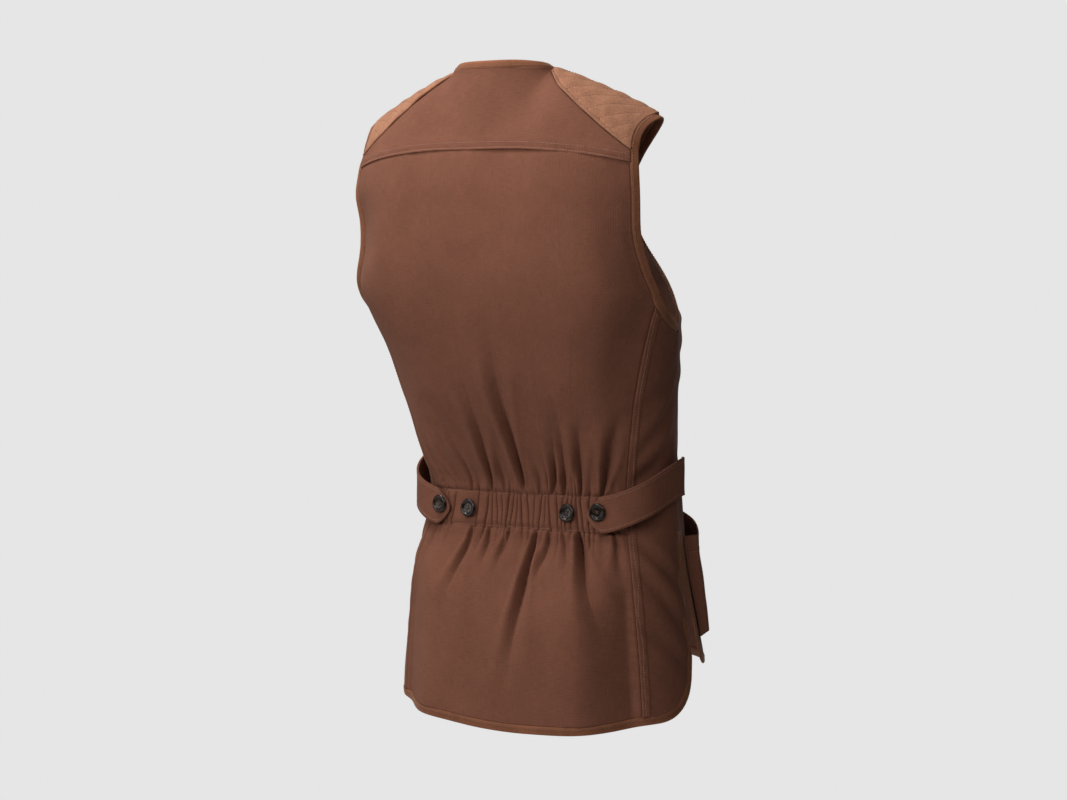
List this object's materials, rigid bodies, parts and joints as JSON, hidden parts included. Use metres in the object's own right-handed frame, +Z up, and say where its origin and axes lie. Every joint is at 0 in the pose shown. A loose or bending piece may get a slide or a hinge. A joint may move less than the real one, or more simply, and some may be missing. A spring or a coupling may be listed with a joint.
{
  "type": "shooting vest",
  "caption": "Sleeveless shooting vest in worn, hollow form: canvas panels, quilted suede shoulder patches, gathered waistband with buttoned tabs and bellows pockets.",
  "frame": {"origin": "midway between the two neck points of the shoulder line, where the wearer's shoulders carry the vest", "axes": "+Z up, +Y towards the back, -Y towards the front, +X towards the wearer's left"},
  "size_m": [0.4016, 0.2882, 0.734],
  "materials": {
    "brown_canvas": "brushed brown cotton canvas",
    "tan_suede": "quilted tan suede",
    "rust_suede": "rust brown suede binding",
    "dark_horn": "polished dark horn"
  },
  "bodies": {
    "root": {"back": "brown_canvas", "yoke": "brown_canvas", "side_panel_left": "brown_canvas", "side_panel_right": "brown_canvas", "front_left": "brown_canvas", "front_right": "brown_canvas", "waistband": "brown_canvas", "waist_tab_left": "brown_canvas", "waist_tab_right": "brown_canvas", "pocket_left": "brown_canvas", "pocket_right": "brown_canvas", "shoulder_patch_left": "tan_suede", "shoulder_patch_right": "tan_suede", "neck_binding": "rust_suede", "armhole_binding_left": "rust_suede", "armhole_binding_right": "rust_suede", "back_hem_binding": "rust_suede", "front_hem_binding_left": "rust_suede", "front_hem_binding_right": "rust_suede", "band_button_left": "dark_horn", "band_button_right": "dark_horn", "tab_button_left": "dark_horn", "tab_button_right": "dark_horn", "front_button_1": "dark_horn", "front_button_2": "dark_horn", "front_button_3": "dark_horn", "front_button_4": "dark_horn", "front_button_5": "dark_horn"}
  },
  "joints": []
}
